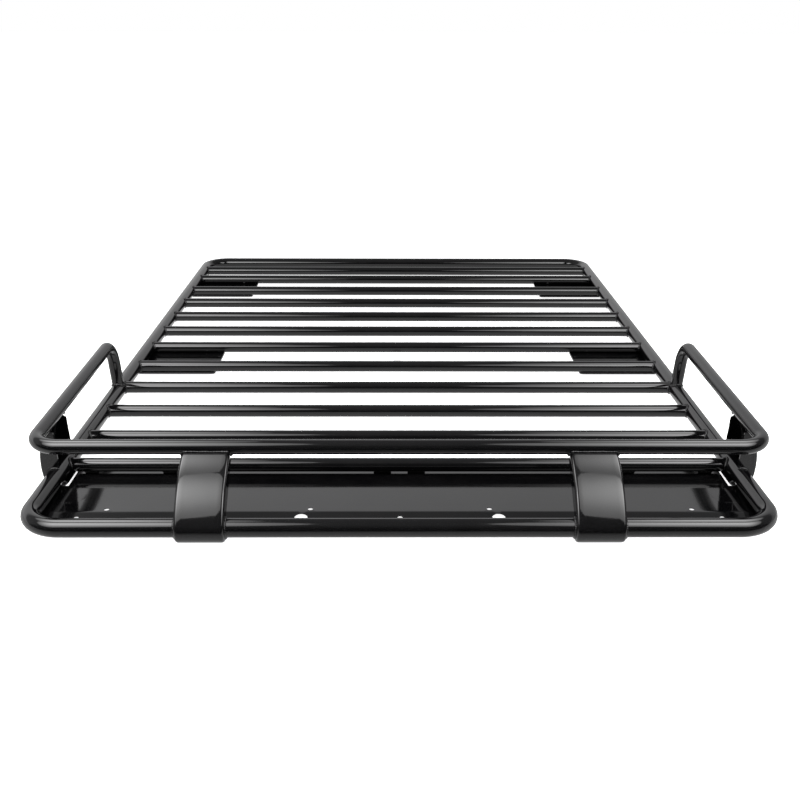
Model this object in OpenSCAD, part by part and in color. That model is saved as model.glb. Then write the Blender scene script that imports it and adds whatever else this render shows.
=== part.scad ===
// Roof cargo rack: a bent tube perimeter with cross slats, a raised front rail on pressed
// brackets, a sheet wind deflector in the front bay and plates for the roof legs.
// Front of the rack faces -Y, +Z is up, X runs across the vehicle.

/* [Perimeter tube] */
// Overall length of the perimeter tube
rack_l = 1850; // [1600:10:2200]
// Overall width of the perimeter tube
rack_w = 1250; // [1100:10:1400]
// Outside diameter of the perimeter tube
tube_d = 31.8; // [28:0.1:38]
// Wall thickness of the perimeter tube
tube_wall = 2; // [1.5:0.1:3]
// Centreline bend radius of the perimeter corners
corner_r = 63.5; // [50:0.5:90]

/* [Slats] */
// Outside diameter of a cross slat
slat_d = 25.4; // [19:0.1:27]
// Wall thickness of a cross slat
slat_wall = 1.6; // [1.2:0.1:2.5]
// Distance from the front tube to the first slat, centre to centre
first_slat = 241; // [235:1:250]
// Gaps from each slat to the next, front to rear, centre to centre
slat_gaps = [130, 136, 140, 141, 143, 133, 134, 136, 133, 135, 110]; // [100:1:160]

/* [Upper rail] */
// Outside diameter of the upper rail tube
rail_d = 25.4; // [22:0.1:28]
// Wall thickness of the upper rail tube
rail_wall = 1.6; // [1.2:0.1:2.5]
// Height of the rail's front run above the perimeter plane
rail_h = 100.5; // [90:0.5:115]
// Distance that the rail's front run is set back from the front tube
rail_back = 94; // [80:1:110]
// Half width of the rail between its side runs, centre to centre
rail_x = 614; // [612:0.5:618]
// Distance from the front tube to the rail's rear legs
leg_y = 630; // [600:1:660]
// Slope of the side runs, rising to the rear
rail_slope = 0.8; // [0:0.1:1.5]
// Centreline radius of the rail's front corners
rail_corner_r = 48; // [40:1:60]
// Centreline radius of the bends above the rear legs
leg_bend_r = 44; // [38:1:55]

/* [Brackets] */
// Width of a pressed bracket
bracket_w = 80; // [70:1:90]
// Thickness of the bracket sheet
bracket_t = 3; // [2.5:0.1:4]
// Clearance between the perimeter tube and the inside of a bracket
bracket_gap = 5; // [4:0.1:6]
// Half distance between the two front brackets
bracket_x = 320; // [280:1:340]
// Distance from the front tube to the middle of a side bracket
side_bracket_y = 230; // [200:1:235]

/* [Leg plates] */
// Thickness of a leg plate
plate_t = 4; // [3:0.5:5]
// Half distance between the inner ends of a pair of plates
plate_inner_x = 425; // [400:1:450]
// Length of a slot for a leg bolt
slot_l = 22; // [18:1:26]
// Width of a slot for a leg bolt
slot_w = 10; // [9:0.5:11]
// Distance between the two slots of a plate
slot_pitch = 90; // [80:1:100]

/* [Wind deflector] */
// Thickness of the deflector sheet
sheet_t = 1.5; // [1.2:0.1:2]
// Distance from the front tube to the crease of the deflector
crease_y = 88; // [80:1:95]
// Length of the front lip in front of the crease
lip_l = 35; // [32:1:36]
// Downward slope of the front lip
lip_slope = 10; // [6:1:11]
// Diameter of the two large holes in the lip
lip_hole_d = 22; // [18:1:24]
// Diameter of the small fixing holes
small_hole_d = 9; // [6:0.5:10]

/* [Hidden] */

$fn = 64;
paint = "#1b1b1d";
tube_r = tube_d / 2;
slat_r = slat_d / 2;
rail_r = rail_d / 2;
wrap_r = tube_r + bracket_gap + bracket_t;
half_x = rack_w / 2 - tube_r;
half_l = rack_l / 2 - tube_r;
// The tube plane's height puts the bottoms of the brackets at Z 0, and the
// shift centres the whole rack, brackets included, on Y 0.
plane_z = wrap_r;
y_shift = (wrap_r - tube_r) / 2;
y_front = y_shift - half_l;
straight = rack_l / 2 - tube_r - corner_r;
weld_gap = 0.05;

// Distance from the front tube to slat number i, counted from 0 at the front
function slat_y(i) = i == 0 ? first_slat : slat_y(i - 1) + slat_gaps[i - 1];

// Children are given with the front tube's centreline as Y 0 and Z 0
module from_front() {
    translate([0, y_front, plane_z]) children();
}

// Tube or its bore along +Z
module rod(d, l) {
    cylinder(d = d, h = l);
}

// Bend in the XY plane: starts at the origin heading +X and turns towards +Y
module elbow(d, r, angle) {
    translate([0, r, 0]) rotate([0, 0, -90]) rotate_extrude(angle = angle) translate([r, 0]) circle(d = d);
}

// One half of the perimeter: a cross run, two corners and two side runs up to mid length
module perimeter_half(d) {
    cross = 2 * (half_x - corner_r);
    translate([-cross / 2, -half_l, 0]) rotate([0, 90, 0]) rod(d, cross);
    for (side = [0, 1]) mirror([side, 0, 0]) {
        translate([cross / 2, -half_l, 0]) elbow(d, corner_r, 90);
        translate([half_x, corner_r - half_l, 0]) rotate([-90, 0, 0]) rod(d, straight);
    }
}

module perimeter_tube(turn) {
    color(paint) translate([0, y_shift, plane_z]) rotate([0, 0, turn]) difference() {
        perimeter_half(tube_d);
        perimeter_half(tube_d - 2 * tube_wall);
        // the two halves meet in a butt weld at mid length
        translate([-rack_w, 0, -tube_d]) cube([2 * rack_w, tube_d, 2 * tube_d]);
    }
}

// Cross slat, its ends coped to the side tubes
module slat(number) {
    reach = half_x - tube_r / 2;
    color(paint) from_front() translate([0, slat_y(number), 0]) difference() {
        translate([-reach, 0, 0]) rotate([0, 90, 0]) rod(slat_d, 2 * reach);
        translate([-reach - 1, 0, 0]) rotate([0, 90, 0]) rod(slat_d - 2 * slat_wall, 2 * reach + 2);
        for (side = [-1, 1])
            translate([side * half_x, -tube_d, 0]) rotate([-90, 0, 0])
                cylinder(r = tube_r + weld_gap, h = 2 * tube_d);
    }
}

// Rail path solid: cross run, corners, side runs, rear bends and legs
module rail_path(d, leg_end) {
    cross = 2 * (rail_x - rail_corner_r);
    run = leg_y - rail_back - rail_corner_r - leg_bend_r;
    translate([-cross / 2, 0, 0]) rotate([0, 90, 0]) rod(d, cross);
    for (side = [0, 1]) mirror([side, 0, 0]) {
        translate([cross / 2, 0, 0]) elbow(d, rail_corner_r, 90);
        translate([rail_x, rail_corner_r, 0]) rotate([-90, 0, 0]) rod(d, run);
        translate([rail_x, rail_corner_r + run, 0]) rotate([0, 0, 90]) rotate([-90, 0, 0])
            elbow(d, leg_bend_r, 90);
        translate([rail_x, rail_corner_r + run + leg_bend_r, -leg_bend_r - leg_end]) rod(d, leg_end);
    }
}

module upper_rail() {
    leg = rail_h + 12 - leg_bend_r;
    color(paint) difference() {
        from_front() translate([0, rail_back, rail_h]) rotate([rail_slope, 0, 0]) difference() {
            rail_path(rail_d, leg);
            rail_path(rail_d - 2 * rail_wall, leg + 1);
        }
        // the legs are coped over the side tubes
        for (side = [-1, 1])
            translate([side * half_x, 0, plane_z]) rotate([90, 0, 0])
                cylinder(r = tube_r + weld_gap, h = rack_l, center = true);
        translate([-rack_w, -rack_l, plane_z - tube_d]) cube([2 * rack_w, 2 * rack_l, tube_d]);
    }
}

// Points of an arc about a centre, from angle a to angle b
function arc(c, r, a, b, n = 12) =
    [for (i = [0:n]) c + r * [cos(a + (b - a) * i / n), sin(a + (b - a) * i / n)]];

// A bracket's outer face in side view, moved inwards by t: it wraps the perimeter tube, which
// is at the origin, from angle wrap_end to angle a, and runs on as an arc of radius r up to top.
function bracket_face(t, wrap_end, a, r, top) = concat(
    arc([0, 0], wrap_r - t, wrap_end, a, 16),
    arc((wrap_r - r) * [cos(a), sin(a)], r - t, a, top, 16)
);

function reversed(points) = [for (i = [1:len(points)]) points[len(points) - i]];

// Pressed channel: a curved web and two flanges that close on both tubes.
// rail_at is the upper rail's centre in side view.
module channel_bracket(wrap_end, a, r, top, rail_at) {
    outer = bracket_face(0, wrap_end, a, r, top);
    inner = bracket_face(bracket_t, wrap_end, a, r, top);
    rail_foot = rail_at + rail_r * [cos(-50), sin(-50)];
    tube_top = tube_r * [cos(60), sin(60)];
    // the flange's free edge leans 12 degrees off the end of the web
    flange_root = tube_r / 2 * [cos(wrap_end + 12), sin(wrap_end + 12)];
    difference() {
        union() {
            translate([0, 0, -bracket_w / 2]) linear_extrude(bracket_w)
                polygon(concat(outer, reversed(inner)));
            for (side = [0, 1]) mirror([0, 0, side])
                translate([0, 0, bracket_w / 2 - bracket_t]) linear_extrude(bracket_t)
                    polygon(concat(outer, [rail_at, rail_foot, tube_top, flange_root]));
        }
        translate([0, 0, -bracket_w]) cylinder(r = tube_r + weld_gap, h = 2 * bracket_w);
        translate([rail_at.x, rail_at.y, -bracket_w]) cylinder(r = rail_r + weld_gap, h = 2 * bracket_w);
    }
}

module front_bracket(side) {
    color(paint) from_front() translate([side * bracket_x, 0, 0]) rotate([90, 0, 90])
        channel_bracket(285, 151, 178, 107, [rail_back, rail_h]);
}

module side_bracket(side) {
    rise = (side_bracket_y - rail_back) * sin(rail_slope);
    color(paint) from_front() mirror([side > 0 ? 1 : 0, 0, 0])
        translate([-half_x, side_bracket_y, 0]) rotate([90, 0, 0])
            channel_bracket(325, 192, 140, 151.8, [half_x - rail_x, rail_h + rise]);
}

// Slot along X, cut down through whatever is there
module slot_cut(l, w) {
    for (end = [-1, 1]) translate([end * (l - w) / 2, 0, -tube_d]) cylinder(d = w, h = 2 * tube_d);
    translate([-(l - w) / 2, -w / 2, -tube_d]) cube([l - w, w, 2 * tube_d]);
}

// Plate for a roof leg on the right-hand side, between two Y values, its top at z_top
module leg_plate(inner_x, outer_x, y_low, y_high, z_top, t, corner) {
    slot_x = plate_inner_x + slot_inset;
    slot_y = (y_low + y_high) / 2 + slot_shift;
    difference() {
        translate([0, 0, z_top - t]) linear_extrude(t) polygon(concat(
            arc([inner_x + corner, y_low + corner], corner, 180, 270, 6),
            [[outer_x, y_low], [outer_x, y_high]],
            arc([inner_x + corner, y_high - corner], corner, 90, 180, 6)
        ));
        for (i = [0, 1]) translate([slot_x + i * slot_pitch, slot_y, z_top]) slot_cut(slot_l, slot_w);
        translate([half_x, y_low - 1, 0]) rotate([-90, 0, 0])
            cylinder(r = tube_r + weld_gap, h = y_high - y_low + 2);
    }
}
slot_inset = 35.5;
slot_shift = 4;
plate_overlap = 8;
plate_corner = 8;

// Plate under the two slats counted low and low + 1
module slat_plate(side, low) {
    y_low = slat_y(low) - plate_overlap;
    y_high = slat_y(low + 1) + plate_overlap;
    middle = (y_low + y_high) / 2;
    color(paint) from_front() mirror([side < 0 ? 1 : 0, 0, 0]) difference() {
        leg_plate(plate_inner_x, half_x, y_low, y_high, -slat_r, plate_t, plate_corner);
        // lightening and drain holes by the inner end
        translate([plate_inner_x + 8, middle + 38, -tube_d]) cylinder(d = 8, h = tube_d);
        translate([plate_inner_x + 43, middle + 56, -tube_d]) cylinder(d = 6, h = tube_d);
    }
}

front_plate_t = 3;
front_plate_inner = 405;
front_plate_outer = 582;
front_plate_y = [122, 292];

// Plate bolted up under the deflector sheet and the first slat's tabs
module front_plate(side) {
    color(paint) from_front() mirror([side < 0 ? 1 : 0, 0, 0]) difference() {
        leg_plate(front_plate_inner, front_plate_outer, front_plate_y[0], front_plate_y[1],
            sheet_top - sheet_t, front_plate_t, plate_corner);
        for (x = bolt_x) if (x > front_plate_inner) bolt_hole(x);
    }
}

sheet_top = -tube_r - weld_gap;
sheet_rear = 288;
sheet_half_w = 619;
bolt_d = 6;
bolt_y = 273;
bolt_x = [-561, -419, -31, 31, 419, 561];
tab_top = -slat_r + 1.5;
washer_t = 1;
head_t = 4;
nut_t = 3;

module bolt_hole(x) {
    translate([x, bolt_y, -tube_d]) cylinder(d = bolt_d + 0.6, h = 2 * tube_d);
}

// Sheet under the front bay: a flat run, and a lip that slopes down in front of the crease
module wind_deflector() {
    lip = lip_l * [-cos(lip_slope), -sin(lip_slope)];
    crease = [crease_y, sheet_top];
    notch = bracket_w + 2;
    color(paint) from_front() difference() {
        rotate([90, 0, 90]) linear_extrude(2 * sheet_half_w, center = true) polygon([
            crease, crease + lip, crease + lip - [0, sheet_t],
            crease - [0, sheet_t], [sheet_rear, sheet_top - sheet_t], [sheet_rear, sheet_top]
        ]);
        // room for the side brackets where they wrap the side tubes
        for (side = [-1, 1])
            translate([side * (half_x + 10), side_bracket_y, sheet_top]) cube([61, notch, 20], center = true);
        for (x = [-497, -152, 152, 497])
            translate([x, crease_y + 9, -tube_d]) cylinder(d = small_hole_d, h = tube_d);
        translate([0, crease_y, sheet_top]) rotate([lip_slope, 0, 0]) {
            for (x = [-166, 166]) translate([x, -lip_hole_at, -5]) cylinder(d = lip_hole_d, h = 10);
            for (x = [-542, 0, 542]) translate([x, -lip_hole_at, -5]) cylinder(d = small_hole_d, h = 10);
        }
        for (x = bolt_x) bolt_hole(x);
    }
}
lip_hole_at = 17;

// Spacer tabs welded under the first slat; the deflector's rear edge is bolted to them
module slat_tabs() {
    color(paint) from_front() difference() {
        for (x = bolt_x) {
            w = abs(x) < 100 ? 32 : 25;
            translate([x - w / 2, first_slat - 2, sheet_top]) cube([w, 48, tab_top - sheet_top]);
        }
        translate([-rack_w / 2, first_slat, 0]) rotate([0, 90, 0])
            cylinder(r = slat_r + weld_gap, h = rack_w);
        for (x = bolt_x) bolt_hole(x);
    }
}

// Underside of the stack that a bolt clamps: the front plates where they are, else the sheet
function stack_low(x) = sheet_top - sheet_t - (abs(x) > front_plate_inner ? front_plate_t : 0);

module deflector_bolts() {
    color("#3a3a3c") from_front() for (x = bolt_x) translate([x, bolt_y, tab_top + washer_t]) {
        cylinder(d = 11, h = head_t, $fn = 6);
        low = stack_low(x) - nut_t;
        translate([0, 0, low - tab_top - washer_t]) cylinder(d = bolt_d, h = tab_top + washer_t - low);
    }
}

module deflector_washers() {
    color("#3a3a3c") from_front() for (x = bolt_x) translate([x, bolt_y, tab_top]) difference() {
        cylinder(d = 12.5, h = washer_t);
        translate([0, 0, -1]) cylinder(d = bolt_d + 0.4, h = washer_t + 2);
    }
}

module deflector_nuts() {
    color("#3a3a3c") from_front() for (x = bolt_x) translate([x, bolt_y, stack_low(x) - nut_t]) difference() {
        cylinder(d = 11, h = nut_t, $fn = 6);
        translate([0, 0, -1]) cylinder(d = bolt_d + 0.04, h = nut_t + 2);
    }
}

perimeter_tube(0);  // front_perimeter_tube
perimeter_tube(180);  // rear_perimeter_tube
slat(0);  // slat_01
slat(1);  // slat_02
slat(2);  // slat_03
slat(3);  // slat_04
slat(4);  // slat_05
slat(5);  // slat_06
slat(6);  // slat_07
slat(7);  // slat_08
slat(8);  // slat_09
slat(9);  // slat_10
slat(10);  // slat_11
slat(11);  // slat_12
upper_rail();
front_bracket(-1);  // front_bracket_left
front_bracket(1);  // front_bracket_right
side_bracket(-1);  // side_bracket_left
side_bracket(1);  // side_bracket_right
front_plate(-1);  // front_plate_left
front_plate(1);  // front_plate_right
slat_plate(-1, 4);  // middle_plate_left
slat_plate(1, 4);  // middle_plate_right
slat_plate(-1, 9);  // rear_plate_left
slat_plate(1, 9);  // rear_plate_right
wind_deflector();
slat_tabs();
deflector_bolts();
deflector_washers();
deflector_nuts();
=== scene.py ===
"""Roof cargo rack in gloss black paint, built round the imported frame.

Every tube, bracket, sheet and weld is a surface worked out with numpy from the frame's own
places, and each one rides on the rack's single body. Sizes are in metres.
"""

import logging
import math
from collections.abc import Sequence
from dataclasses import dataclass
from enum import Enum

import bmesh
import bpy
import numpy as np
from mathutils import Matrix, Vector
from mathutils.geometry import delaunay_2d_cdt


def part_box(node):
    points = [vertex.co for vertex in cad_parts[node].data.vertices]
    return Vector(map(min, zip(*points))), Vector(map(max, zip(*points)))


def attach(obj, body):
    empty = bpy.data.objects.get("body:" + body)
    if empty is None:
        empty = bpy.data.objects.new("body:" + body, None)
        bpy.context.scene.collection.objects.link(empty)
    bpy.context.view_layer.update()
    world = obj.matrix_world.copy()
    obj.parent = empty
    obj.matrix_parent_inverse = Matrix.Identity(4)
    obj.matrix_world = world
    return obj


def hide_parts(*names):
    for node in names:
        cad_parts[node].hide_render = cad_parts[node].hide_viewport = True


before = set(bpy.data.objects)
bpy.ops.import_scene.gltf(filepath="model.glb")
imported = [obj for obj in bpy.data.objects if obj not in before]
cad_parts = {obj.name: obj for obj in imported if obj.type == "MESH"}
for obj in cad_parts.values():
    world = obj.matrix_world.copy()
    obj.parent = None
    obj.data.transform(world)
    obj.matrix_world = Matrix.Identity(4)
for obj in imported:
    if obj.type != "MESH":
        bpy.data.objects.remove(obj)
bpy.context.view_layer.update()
LOG = logging.getLogger("rack")
BODY = "root"
MM = 0.001
# how far the rail runs back to its legs, and its rise on the way in degrees
LEG_BACK = 536 * MM
RAIL_SLOPE = 0.8
# X in mm of the bolts along the rear edge of the sheet
BOLT_X = (-561, -419, -31, 31, 419, 561)
BLACK, WHITE = (0.0, 0.0, 0.0), (1.0, 1.0, 1.0)
Socket = bpy.types.NodeSocket


class Side(Enum):
    """The two sides of the rack, seen from the front, with the sign of their X."""

    LEFT = -1
    RIGHT = 1

    @property
    def word(self) -> str:
        """The side's name as the CAD nodes spell it."""
        return self.name.lower()


class PlatePair(Enum):
    """The three pairs of leg plates, front to rear."""

    FRONT = "front"
    MIDDLE = "middle"
    REAR = "rear"


# ---------------------------------------------------------------- finishes


class NodeTree:
    """The nodes of a material or a world while they are put together."""

    def __init__(self, holder: bpy.types.Material | bpy.types.World, keep: bool = False) -> None:
        """Opens the tree.

        Args:
            holder: What the tree belongs to.
            keep: True to keep the nodes that it starts with.
        """
        holder.use_nodes = True
        self.nodes, self.links = holder.node_tree.nodes, holder.node_tree.links
        if not keep:
            self.nodes.clear()

    def feed(self, node: bpy.types.Node, inputs: dict[str | int, object]) -> None:
        """Links each input to the socket given for it, or sets it to the value given."""
        for key, value in inputs.items():
            if isinstance(value, Socket):
                self.links.new(value, node.inputs[key])
            else:
                node.inputs[key].default_value = value

    def add(
        self, kind: str, inputs: dict[str | int, object], output: str | int = 0, **settings: object
    ) -> Socket | None:
        """Adds a node.

        Args:
            kind: Its type, less the leading ShaderNode.
            inputs: Values or sockets for its inputs.
            output: The output that is wanted.
            settings: Its other properties.

        Returns:
            That output, or None where the node has none.
        """
        node = self.nodes.new(f"ShaderNode{kind}")
        for key, value in settings.items():
            setattr(node, key, value)
        self.feed(node, inputs)
        return node.outputs[output] if len(node.outputs) else None

    def ramp(self, fac: Socket, stops: tuple) -> Socket:
        """A colour ramp of (position, colour) stops in rising order."""
        node = self.nodes.new("ShaderNodeValToRGB")
        elements = node.color_ramp.elements
        elements.remove(elements[0])
        elements[0].position = stops[0][0]
        elements[0].color = (*stops[0][1], 1)
        for position, colour in stops[1:]:
            elements.new(position).color = (*colour, 1)
        self.links.new(fac, node.inputs["Fac"])
        return node.outputs["Color"]


@dataclass(frozen=True)
class GlossPaint:
    """Gloss black powder coat: near-black ground, fine orange peel, faint haze and dust."""

    name: str
    colour: tuple[float, float, float] = (0.0012, 0.0012, 0.0014)
    worn: tuple[float, float, float] = (0.0026, 0.0025, 0.0027)
    roughness: tuple[float, float] = (0.055, 0.11)
    peel: float = 0.05
    peel_scale: float = 420.0
    wave: float = 0.03
    wave_scale: float = 26.0
    dust: tuple[float, float, float] = (0.022, 0.021, 0.020)
    dust_roughness: float = 0.12
    seed: float = 0.0

    def build(self) -> bpy.types.Material:
        """Makes the node material.

        Returns:
            The material, on Object coordinates throughout.
        """
        mat = bpy.data.materials.new(self.name)
        tree = NodeTree(mat, keep=True)
        place = tree.add("TexCoord", {}, "Object")
        away = (self.seed, self.seed * 0.7, -self.seed)
        shift = tree.add("Mapping", {"Location": away, "Vector": place})

        def noise(scale: float, detail: float, rough: float) -> Socket:
            """A noise texture on the piece's own coordinates."""
            return tree.add("TexNoise", {"Scale": scale, "Detail": detail, "Roughness": rough, "Vector": shift})

        haze, dust, tone = noise(5.5, 4.0, 0.6), noise(900.0, 2.0, 0.5), noise(14.0, 5.0, 0.6)
        low, high = self.roughness
        spread = tree.add("MapRange", {"From Min": 0.35, "From Max": 0.7, "To Min": low, "To Max": high, "Value": haze})
        speck = tree.ramp(dust, ((0.71, BLACK), (0.80, WHITE)))
        rough = tree.add("Math", {0: speck, 1: self.dust_roughness, 2: spread}, operation="MULTIPLY_ADD")
        ground = tree.ramp(tone, ((0.38, self.colour), (0.72, self.worn)))
        colour = tree.add("Mix", {"Factor": speck, "A": ground, "B": (*self.dust, 1)}, "Result", data_type="RGBA")
        wave, peel = noise(self.wave_scale, 1.0, 0.4), noise(self.peel_scale, 2.0, 0.5)
        coarse = tree.add("Bump", {"Strength": self.wave, "Distance": 2.0 * MM, "Height": wave})
        fine = tree.add("Bump", {"Strength": self.peel, "Distance": 0.25 * MM, "Height": peel, "Normal": coarse})
        shader = tree.nodes["Principled BSDF"]
        tree.feed(shader, {"Metallic": 0.0, "IOR": 1.5, "Coat Weight": 0.0})
        tree.feed(shader, {"Base Color": colour, "Roughness": rough, "Normal": fine})
        return mat


@dataclass(frozen=True)
class BlackZinc:
    """Dark plated steel of the bolts, washers and nuts, with rubbed lighter patches."""

    name: str
    dark: tuple[float, float, float] = (0.035, 0.035, 0.038)
    rubbed: tuple[float, float, float] = (0.12, 0.115, 0.11)

    def build(self) -> bpy.types.Material:
        """Makes the node material.

        Returns:
            The material, on Object coordinates throughout.
        """
        mat = bpy.data.materials.new(self.name)
        tree = NodeTree(mat, keep=True)
        place = tree.add("TexCoord", {}, "Object")
        grain = tree.add("TexNoise", {"Scale": 340.0, "Detail": 6.0, "Vector": place})
        colour = tree.ramp(grain, ((0.35, self.dark), (0.75, self.rubbed)))
        rough = tree.add("MapRange", {"To Min": 0.28, "To Max": 0.5, "Value": grain})
        bump = tree.add("Bump", {"Strength": 0.15, "Distance": 0.1 * MM, "Height": grain})
        shader = tree.nodes["Principled BSDF"]
        tree.feed(shader, {"Metallic": 1.0, "Base Color": colour, "Roughness": rough, "Normal": bump})
        return mat


class Palette:
    """The finishes of the rack, by the record's material slot."""

    def __init__(self) -> None:
        """Builds each material once."""
        self.by_slot: dict[str, bpy.types.Material] = {
            "perimeter_paint": GlossPaint("perimeter_gloss_black", seed=0.0).build(),
            "slat_paint": GlossPaint("slat_gloss_black", seed=3.1).build(),
            "rail_paint": GlossPaint("rail_gloss_black", seed=5.3).build(),
            "bracket_paint": GlossPaint("bracket_gloss_black", wave=0.05, seed=7.7).build(),
            "plate_paint": GlossPaint("plate_gloss_black", wave=0.05, seed=9.9).build(),
            "sheet_paint": GlossPaint("sheet_gloss_black", wave=0.06, wave_scale=9.0, seed=12.4).build(),
            "fastener_black": BlackZinc("fastener_black_zinc").build(),
        }
        self.weld = GlossPaint(
            "weld_gloss_black", roughness=(0.09, 0.2), peel=0.5, peel_scale=700.0, wave=0.4, wave_scale=240.0, seed=2.2
        ).build()


# ---------------------------------------------------------------- mesh tools


def grid_faces(rows: int, cols: int, closed: bool) -> np.ndarray:
    """Quads of a grid of rows x cols points, the columns joined round when closed.

    Args:
        rows: Number of rows.
        cols: Number of points in a row.
        closed: True when a row is a ring.

    Returns:
        An array of quads as point numbers.
    """
    r = np.arange(rows - 1)[:, None] * cols
    c = np.arange(cols if closed else cols - 1)[None, :]
    d = (c + 1) % cols
    quads = np.stack([r + c, r + d, r + cols + d, r + cols + c], axis=-1)
    return quads.reshape(-1, 4)


def make_piece(
    name: str,
    verts: np.ndarray,
    quads: np.ndarray,
    tris: np.ndarray | None = None,
    sharp_angle: float | None = 35.0,
    solid: bool = True,
) -> bpy.types.Object:
    """A mesh object at the origin from arrays of points and faces.

    Args:
        name: The piece's name.
        verts: Points, one row each.
        quads: Quads as point numbers.
        tris: Triangles as point numbers.
        sharp_angle: Edges sharper than this many degrees stay sharp.
        solid: True to merge doubles and turn the normals outwards.

    Returns:
        The new object.
    """
    faces = quads.tolist() + ([] if tris is None else tris.tolist())
    mesh = bpy.data.meshes.new(name)
    mesh.from_pydata(verts.reshape(-1, 3).tolist(), [], faces)
    if solid:
        bm = bmesh.new()
        bm.from_mesh(mesh)
        bmesh.ops.remove_doubles(bm, verts=bm.verts, dist=1e-6)
        bmesh.ops.recalc_face_normals(bm, faces=bm.faces)
        bm.to_mesh(mesh)
        bm.free()
    mesh.validate()
    mesh.shade_smooth()
    if sharp_angle is not None:
        mesh.set_sharp_from_angle(angle=math.radians(sharp_angle))
    obj = bpy.data.objects.new(name, mesh)
    bpy.context.scene.collection.objects.link(obj)
    return obj


def unit(v: np.ndarray) -> np.ndarray:
    """Rows of v made one long."""
    return v / np.linalg.norm(v, axis=-1, keepdims=True)


def rings_along(
    path: np.ndarray, guide: np.ndarray, radius: np.ndarray | float, sides: int, closed: bool = False
) -> np.ndarray:
    """Rings of points round a path.

    Each ring stands square to the path: point = path + radius (cos a n + sin a b), where t is the
    path's direction, n is the guide made square to t, b = t x n, and a goes once round.

    Args:
        path: Points of the path.
        guide: For each of them, a direction roughly square to the path.
        radius: One radius, or one for each point of the path.
        sides: Points in a ring.
        closed: True when the path runs right round.

    Returns:
        An array of len(path) x sides points.
    """
    t = unit(np.roll(path, -1, 0) - np.roll(path, 1, 0) if closed else np.gradient(path, axis=0))
    n = unit(guide - (guide * t).sum(1, keepdims=True) * t)
    b = np.cross(t, n)
    a = np.linspace(0, 2 * np.pi, sides, endpoint=False)
    r = np.broadcast_to(np.asarray(radius, float), (len(path),))[:, None, None]
    ring = np.cos(a)[None, :, None] * n[:, None] + np.sin(a)[None, :, None] * b[:, None]
    return path[:, None] + r * ring


def capped(rings: np.ndarray) -> tuple[np.ndarray, np.ndarray, np.ndarray]:
    """Points and faces of a stack of rings, each end closed by a fan to its middle.

    Args:
        rings: Points, rings x sides.

    Returns:
        Points, quads and triangles.
    """
    rows, cols = rings.shape[:2]
    flat = rings.reshape(-1, 3)
    verts = np.vstack([flat, rings[0].mean(0), rings[-1].mean(0)])
    i = np.arange(cols)
    j = (i + 1) % cols
    first, last = np.full(cols, rows * cols), np.full(cols, rows * cols + 1)
    base = (rows - 1) * cols
    tris = np.vstack([np.stack([j, i, first], 1), np.stack([base + i, base + j, last], 1)])
    return verts, grid_faces(rows, cols, True), tris


def arc_points(
    centre: np.ndarray, e1: np.ndarray, e2: np.ndarray, radius: float, a: float, b: float, n: int
) -> np.ndarray:
    """Points of an arc: centre + radius (cos s e1 + sin s e2), s from a to b degrees."""
    s = np.radians(np.linspace(a, b, n))[:, None]
    return centre + radius * (np.cos(s) * e1 + np.sin(s) * e2)


def directions(degrees: np.ndarray) -> np.ndarray:
    """Unit vectors in the plane, one for each angle."""
    s = np.radians(degrees)
    return np.stack([np.cos(s), np.sin(s)], -1)


def without_repeats(path: np.ndarray, *others: np.ndarray) -> tuple[np.ndarray, ...]:
    """Drops points that repeat the one before, from a path and from what goes with it."""
    keep = np.r_[True, np.linalg.norm(np.diff(path, axis=0), axis=1) > 1e-7]
    return (path[keep], *(o[keep] for o in others))


def within(points: np.ndarray, loop: np.ndarray) -> np.ndarray:
    """Which points lie inside a ring: a ray along +X crosses it an odd number of times.

    Args:
        points: Points in the plane.
        loop: The ring's corners in order.

    Returns:
        True for each point inside.
    """
    x, y = points[:, :1], points[:, 1:]
    a, b = loop, np.roll(loop, -1, axis=0)
    spans = (a[:, 1] > y) != (b[:, 1] > y)
    rise = np.where(spans, b[:, 1] - a[:, 1], 1.0)
    at = a[:, 0] + (b[:, 0] - a[:, 0]) * (y - a[:, 1]) / rise
    return (spans & (x < at)).sum(1) % 2 == 1


def flat_panel(outline: np.ndarray, holes: list[np.ndarray], inside: np.ndarray) -> tuple[np.ndarray, np.ndarray]:
    """Triangles of a flat outline with holes, with loose points inside it to bend it by.

    Triangles whose middle is outside the outline or in a hole are left out.

    Args:
        outline: Corners of the outline, in order, in the plane.
        holes: Rings of points, one for each hole.
        inside: Extra points.

    Returns:
        Points in the plane and triangles.
    """
    loops = [outline, *holes]
    points, edges, at = [], [], 0
    for loop in loops:
        n = len(loop)
        points += [Vector(p) for p in loop.tolist()]
        edges += [(at + i, at + (i + 1) % n) for i in range(n)]
        at += n
    keep = np.ones(len(inside), bool)
    for hole in holes:
        middle = hole.mean(0)
        reach = np.linalg.norm(hole - middle, axis=1).max() * 1.3
        keep &= np.linalg.norm(inside - middle, axis=1) > reach
    points += [Vector(p) for p in inside[keep].tolist()]
    out, _, faces, *_ = delaunay_2d_cdt(points, edges, [], 0, 1e-7)
    flat, tris = np.array([tuple(p) for p in out]), np.array([tuple(t) for t in faces])
    middles = flat[tris].mean(1)
    solid = within(middles, outline)
    for hole in holes:
        solid &= ~within(middles, hole)
    return flat, tris[solid]


def circle(x: float, y: float, r: float, n: int = 28) -> np.ndarray:
    """A ring of n points round (x, y)."""
    a = np.linspace(0, 2 * np.pi, n, endpoint=False)
    return np.stack([x + r * np.cos(a), y + r * np.sin(a)], 1)


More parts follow.
